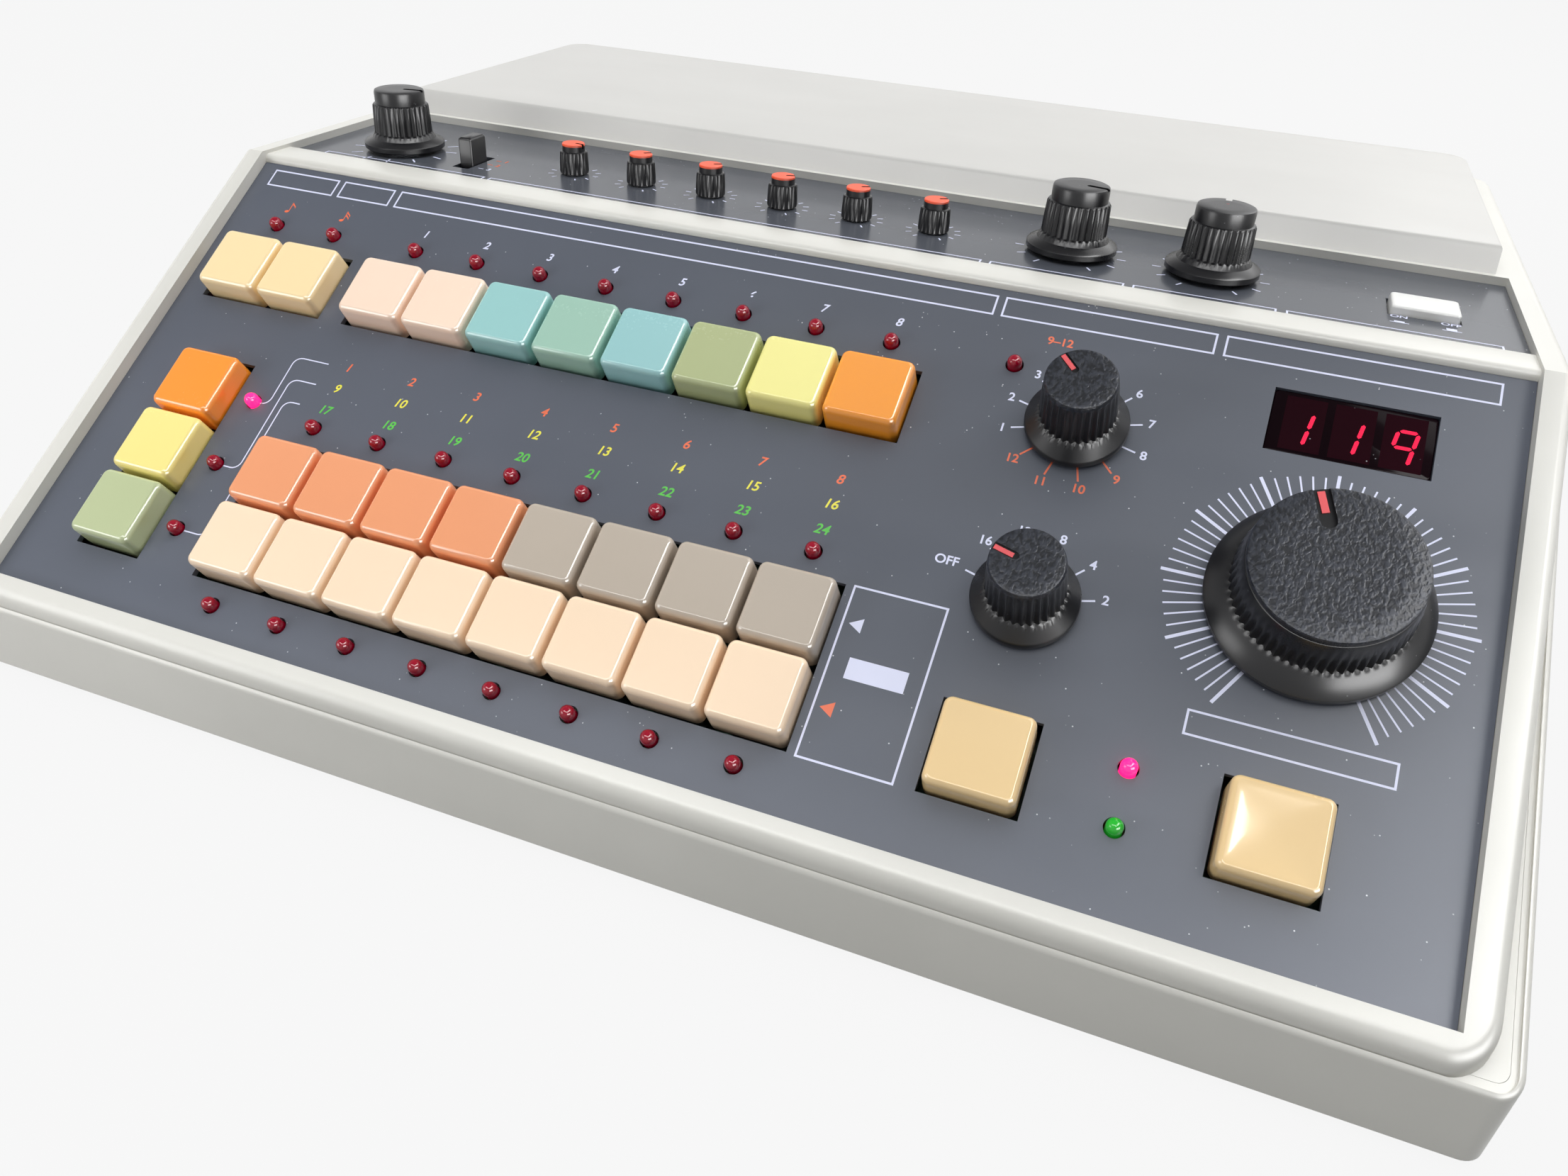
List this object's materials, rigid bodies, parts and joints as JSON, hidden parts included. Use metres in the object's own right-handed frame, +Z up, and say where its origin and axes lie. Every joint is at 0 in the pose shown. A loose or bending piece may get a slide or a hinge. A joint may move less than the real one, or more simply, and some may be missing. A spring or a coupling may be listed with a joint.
{
  "type": "drum machine",
  "caption": "Wedge-shaped desktop rhythm unit with coloured square buttons on a sloping panel, selector knobs, a large dial and a level panel of small knobs.",
  "frame": {"origin": "bottom centre of the whole unit, on the surface that its feet stand on", "axes": "+X to the player's right along the width, +Y away from the player to the back, +Z up"},
  "size_m": [0.3728, 0.318, 0.1224],
  "materials": {
    "shell_low": "satin",
    "shell_top": "satin",
    "lid": "satin",
    "panel_low": "satin",
    "panel_up": "gloss",
    "lamp_off": "gloss",
    "lamp_on": "gloss",
    "window": "gloss",
    "board": "satin",
    "switch_black": "matte",
    "pot_metal": "satin",
    "socket_metal": "polished",
    "transformer": "satin",
    "foot_rubber": "matte",
    "screw_steel": "satin",
    "knob_black": "grained",
    "lever_black": "satin",
    "button_white": "satin",
    "cap_tan": "satin",
    "cap_pale": "satin",
    "cap_peach": "satin",
    "cap_teal": "satin",
    "cap_green": "satin",
    "cap_blue": "satin",
    "cap_olive": "satin",
    "cap_yellow": "satin",
    "cap_orange": "satin",
    "cap_amber": "satin",
    "cap_straw": "satin",
    "cap_sage": "satin",
    "cap_salmon": "satin",
    "cap_taupe": "satin",
    "cap_cream": "satin"
  },
  "bodies": {
    "case": {"case_base": "shell_low", "case_top": "shell_top", "lid_plate": "lid", "key_panel": "panel_low", "knob_panel": "panel_up", "lamps": "lamp_off", "lamps_lit": "lamp_on", "display_window": "window", "circuit_boards": "board", "key_switches": "switch_black", "controls": "pot_metal", "rear_sockets": "socket_metal", "power_supply": "transformer", "feet": "foot_rubber", "screws": "screw_steel"},
    "button_register_1": {"button_register_1": "cap_pale"},
    "button_register_2": {"button_register_2": "cap_pale"},
    "button_arranger_1": {"button_arranger_1": "cap_peach"},
    "button_arranger_2": {"button_arranger_2": "cap_peach"},
    "button_arranger_3": {"button_arranger_3": "cap_teal"},
    "button_arranger_4": {"button_arranger_4": "cap_green"},
    "button_arranger_5": {"button_arranger_5": "cap_blue"},
    "button_arranger_6": {"button_arranger_6": "cap_olive"},
    "button_arranger_7": {"button_arranger_7": "cap_yellow"},
    "button_arranger_8": {"button_arranger_8": "cap_orange"},
    "button_bank_1": {"button_bank_1": "cap_amber"},
    "button_bank_2": {"button_bank_2": "cap_straw"},
    "button_bank_3": {"button_bank_3": "cap_sage"},
    "button_rhythm_1": {"button_rhythm_1": "cap_salmon"},
    "button_rhythm_2": {"button_rhythm_2": "cap_salmon"},
    "button_rhythm_3": {"button_rhythm_3": "cap_salmon"},
    "button_rhythm_4": {"button_rhythm_4": "cap_salmon"},
    "button_rhythm_5": {"button_rhythm_5": "cap_taupe"},
    "button_rhythm_6": {"button_rhythm_6": "cap_taupe"},
    "button_rhythm_7": {"button_rhythm_7": "cap_taupe"},
    "button_rhythm_8": {"button_rhythm_8": "cap_taupe"},
    "button_rhythm_9": {"button_rhythm_9": "cap_cream"},
    "button_rhythm_10": {"button_rhythm_10": "cap_cream"},
    "button_rhythm_11": {"button_rhythm_11": "cap_cream"},
    "button_rhythm_12": {"button_rhythm_12": "cap_cream"},
    "button_rhythm_13": {"button_rhythm_13": "cap_cream"},
    "button_rhythm_14": {"button_rhythm_14": "cap_cream"},
    "button_rhythm_15": {"button_rhythm_15": "cap_cream"},
    "button_rhythm_16": {"button_rhythm_16": "cap_cream"},
    "button_manual": {"button_manual": "cap_tan"},
    "button_start": {"button_start": "cap_tan"},
    "button_power": {"button_power": "button_white"},
    "slide_lever": {"slide_lever": "lever_black"},
    "dial_tempo": {"dial_tempo": "knob_black"},
    "knob_intro": {"knob_intro": "knob_black"},
    "knob_measures": {"knob_measures": "knob_black"},
    "knob_mode": {"knob_mode": "knob_black"},
    "knob_accent": {"knob_accent": "knob_black"},
    "knob_volume": {"knob_volume": "knob_black"},
    "knob_voice_1": {"knob_voice_1": "knob_black"},
    "knob_voice_2": {"knob_voice_2": "knob_black"},
    "knob_voice_3": {"knob_voice_3": "knob_black"},
    "knob_voice_4": {"knob_voice_4": "knob_black"},
    "knob_voice_5": {"knob_voice_5": "knob_black"},
    "knob_voice_6": {"knob_voice_6": "knob_black"}
  },
  "joints": [
    {"name": "button_register_1_press", "type": "slide", "parent": "case", "child": "button_register_1", "axis": [0, 0.5388, -0.8425], "range_m": [0, 0.003], "stiffness_N_per_m": 300, "springref_m": -0.003},
    {"name": "button_register_2_press", "type": "slide", "parent": "case", "child": "button_register_2", "axis": [0, 0.5388, -0.8425], "range_m": [0, 0.003], "stiffness_N_per_m": 300, "springref_m": -0.003},
    {"name": "button_arranger_1_press", "type": "slide", "parent": "case", "child": "button_arranger_1", "axis": [0, 0.5388, -0.8425], "range_m": [0, 0.003], "stiffness_N_per_m": 300, "springref_m": -0.003},
    {"name": "button_arranger_2_press", "type": "slide", "parent": "case", "child": "button_arranger_2", "axis": [0, 0.5388, -0.8425], "range_m": [0, 0.003], "stiffness_N_per_m": 300, "springref_m": -0.003},
    {"name": "button_arranger_3_press", "type": "slide", "parent": "case", "child": "button_arranger_3", "axis": [0, 0.5388, -0.8425], "range_m": [0, 0.003], "stiffness_N_per_m": 300, "springref_m": -0.003},
    {"name": "button_arranger_4_press", "type": "slide", "parent": "case", "child": "button_arranger_4", "axis": [0, 0.5388, -0.8425], "range_m": [0, 0.003], "stiffness_N_per_m": 300, "springref_m": -0.003},
    {"name": "button_arranger_5_press", "type": "slide", "parent": "case", "child": "button_arranger_5", "axis": [0, 0.5388, -0.8425], "range_m": [0, 0.003], "stiffness_N_per_m": 300, "springref_m": -0.003},
    {"name": "button_arranger_6_press", "type": "slide", "parent": "case", "child": "button_arranger_6", "axis": [0, 0.5388, -0.8425], "range_m": [0, 0.003], "stiffness_N_per_m": 300, "springref_m": -0.003},
    {"name": "button_arranger_7_press", "type": "slide", "parent": "case", "child": "button_arranger_7", "axis": [0, 0.5388, -0.8425], "range_m": [0, 0.003], "stiffness_N_per_m": 300, "springref_m": -0.003},
    {"name": "button_arranger_8_press", "type": "slide", "parent": "case", "child": "button_arranger_8", "axis": [0, 0.5388, -0.8425], "range_m": [0, 0.003], "stiffness_N_per_m": 300, "springref_m": -0.003},
    {"name": "button_bank_1_press", "type": "slide", "parent": "case", "child": "button_bank_1", "axis": [0, 0.5388, -0.8425], "range_m": [0, 0.003], "stiffness_N_per_m": 300, "springref_m": -0.003},
    {"name": "button_bank_2_press", "type": "slide", "parent": "case", "child": "button_bank_2", "axis": [0, 0.5388, -0.8425], "range_m": [0, 0.003], "stiffness_N_per_m": 300, "springref_m": -0.003},
    {"name": "button_bank_3_press", "type": "slide", "parent": "case", "child": "button_bank_3", "axis": [0, 0.5388, -0.8425], "range_m": [0, 0.003], "stiffness_N_per_m": 300, "springref_m": -0.003},
    {"name": "button_rhythm_1_press", "type": "slide", "parent": "case", "child": "button_rhythm_1", "axis": [0, 0.5388, -0.8425], "range_m": [0, 0.003], "stiffness_N_per_m": 300, "springref_m": -0.003},
    {"name": "button_rhythm_2_press", "type": "slide", "parent": "case", "child": "button_rhythm_2", "axis": [0, 0.5388, -0.8425], "range_m": [0, 0.003], "stiffness_N_per_m": 300, "springref_m": -0.003},
    {"name": "button_rhythm_3_press", "type": "slide", "parent": "case", "child": "button_rhythm_3", "axis": [0, 0.5388, -0.8425], "range_m": [0, 0.003], "stiffness_N_per_m": 300, "springref_m": -0.003},
    {"name": "button_rhythm_4_press", "type": "slide", "parent": "case", "child": "button_rhythm_4", "axis": [0, 0.5388, -0.8425], "range_m": [0, 0.003], "stiffness_N_per_m": 300, "springref_m": -0.003},
    {"name": "button_rhythm_5_press", "type": "slide", "parent": "case", "child": "button_rhythm_5", "axis": [0, 0.5388, -0.8425], "range_m": [0, 0.003], "stiffness_N_per_m": 300, "springref_m": -0.003},
    {"name": "button_rhythm_6_press", "type": "slide", "parent": "case", "child": "button_rhythm_6", "axis": [0, 0.5388, -0.8425], "range_m": [0, 0.003], "stiffness_N_per_m": 300, "springref_m": -0.003},
    {"name": "button_rhythm_7_press", "type": "slide", "parent": "case", "child": "button_rhythm_7", "axis": [0, 0.5388, -0.8425], "range_m": [0, 0.003], "stiffness_N_per_m": 300, "springref_m": -0.003},
    {"name": "button_rhythm_8_press", "type": "slide", "parent": "case", "child": "button_rhythm_8", "axis": [0, 0.5388, -0.8425], "range_m": [0, 0.003], "stiffness_N_per_m": 300, "springref_m": -0.003},
    {"name": "button_rhythm_9_press", "type": "slide", "parent": "case", "child": "button_rhythm_9", "axis": [0, 0.5388, -0.8425], "range_m": [0, 0.003], "stiffness_N_per_m": 300, "springref_m": -0.003},
    {"name": "button_rhythm_10_press", "type": "slide", "parent": "case", "child": "button_rhythm_10", "axis": [0, 0.5388, -0.8425], "range_m": [0, 0.003], "stiffness_N_per_m": 300, "springref_m": -0.003},
    {"name": "button_rhythm_11_press", "type": "slide", "parent": "case", "child": "button_rhythm_11", "axis": [0, 0.5388, -0.8425], "range_m": [0, 0.003], "stiffness_N_per_m": 300, "springref_m": -0.003},
    {"name": "button_rhythm_12_press", "type": "slide", "parent": "case", "child": "button_rhythm_12", "axis": [0, 0.5388, -0.8425], "range_m": [0, 0.003], "stiffness_N_per_m": 300, "springref_m": -0.003},
    {"name": "button_rhythm_13_press", "type": "slide", "parent": "case", "child": "button_rhythm_13", "axis": [0, 0.5388, -0.8425], "range_m": [0, 0.003], "stiffness_N_per_m": 300, "springref_m": -0.003},
    {"name": "button_rhythm_14_press", "type": "slide", "parent": "case", "child": "button_rhythm_14", "axis": [0, 0.5388, -0.8425], "range_m": [0, 0.003], "stiffness_N_per_m": 300, "springref_m": -0.003},
    {"name": "button_rhythm_15_press", "type": "slide", "parent": "case", "child": "button_rhythm_15", "axis": [0, 0.5388, -0.8425], "range_m": [0, 0.003], "stiffness_N_per_m": 300, "springref_m": -0.003},
    {"name": "button_rhythm_16_press", "type": "slide", "parent": "case", "child": "button_rhythm_16", "axis": [0, 0.5388, -0.8425], "range_m": [0, 0.003], "stiffness_N_per_m": 300, "springref_m": -0.003},
    {"name": "button_manual_press", "type": "slide", "parent": "case", "child": "button_manual", "axis": [0, 0.5388, -0.8425], "range_m": [0, 0.003], "stiffness_N_per_m": 300, "springref_m": -0.003},
    {"name": "button_start_press", "type": "slide", "parent": "case", "child": "button_start", "axis": [0, 0.5388, -0.8425], "range_m": [0, 0.003], "stiffness_N_per_m": 300, "springref_m": -0.003},
    {"name": "button_power_press", "type": "slide", "parent": "case", "child": "button_power", "axis": [0, 0, -1], "range_m": [0, 0.002], "stiffness_N_per_m": 300, "springref_m": -0.003},
    {"name": "slide_lever_move", "type": "slide", "parent": "case", "child": "slide_lever", "axis": [0, 1, 0], "range_m": [-0.003, 0.003]},
    {"name": "dial_tempo_turn", "type": "hinge", "parent": "case", "child": "dial_tempo", "pos_m": [0.138, -0.08636, 0.06757], "axis": [0, -0.5388, 0.8425], "range_deg": [-170, 130]},
    {"name": "knob_intro_turn", "type": "hinge", "parent": "case", "child": "knob_intro", "pos_m": [0.08, -0.06007, 0.08438], "axis": [0, -0.5388, 0.8425], "range_deg": [-270, 60]},
    {"name": "knob_measures_turn", "type": "hinge", "parent": "case", "child": "knob_measures", "pos_m": [0.08, -0.09933, 0.05927], "axis": [0, -0.5388, 0.8425], "range_deg": [-150, 0]},
    {"name": "knob_mode_turn", "type": "hinge", "parent": "case", "child": "knob_mode", "pos_m": [-0.1466, 0.00068, 0.1044], "axis": [0, 0, 1], "range_deg": [-150, 180]},
    {"name": "knob_accent_turn", "type": "hinge", "parent": "case", "child": "knob_accent", "pos_m": [0.0636, 0.00518, 0.1044], "axis": [0, 0, 1], "range_deg": [-50, 250]},
    {"name": "knob_volume_turn", "type": "hinge", "parent": "case", "child": "knob_volume", "pos_m": [0.1005, 0.00518, 0.1044], "axis": [0, 0, 1], "range_deg": [-150, 150]},
    {"name": "knob_voice_1_turn", "type": "hinge", "parent": "case", "child": "knob_voice_1", "pos_m": [-0.0878, 0.00388, 0.1044], "axis": [0, 0, 1], "range_deg": [-55, 245]},
    {"name": "knob_voice_2_turn", "type": "hinge", "parent": "case", "child": "knob_voice_2", "pos_m": [-0.06514, 0.00388, 0.1044], "axis": [0, 0, 1], "range_deg": [-100, 200]},
    {"name": "knob_voice_3_turn", "type": "hinge", "parent": "case", "child": "knob_voice_3", "pos_m": [-0.04248, 0.00388, 0.1044], "axis": [0, 0, 1], "range_deg": [-90, 210]},
    {"name": "knob_voice_4_turn", "type": "hinge", "parent": "case", "child": "knob_voice_4", "pos_m": [-0.01982, 0.00388, 0.1044], "axis": [0, 0, 1], "range_deg": [-80, 220]},
    {"name": "knob_voice_5_turn", "type": "hinge", "parent": "case", "child": "knob_voice_5", "pos_m": [0.00284, 0.00388, 0.1044], "axis": [0, 0, 1], "range_deg": [-90, 210]},
    {"name": "knob_voice_6_turn", "type": "hinge", "parent": "case", "child": "knob_voice_6", "pos_m": [0.0255, 0.00388, 0.1044], "axis": [0, 0, 1], "range_deg": [-90, 210]}
  ]
}
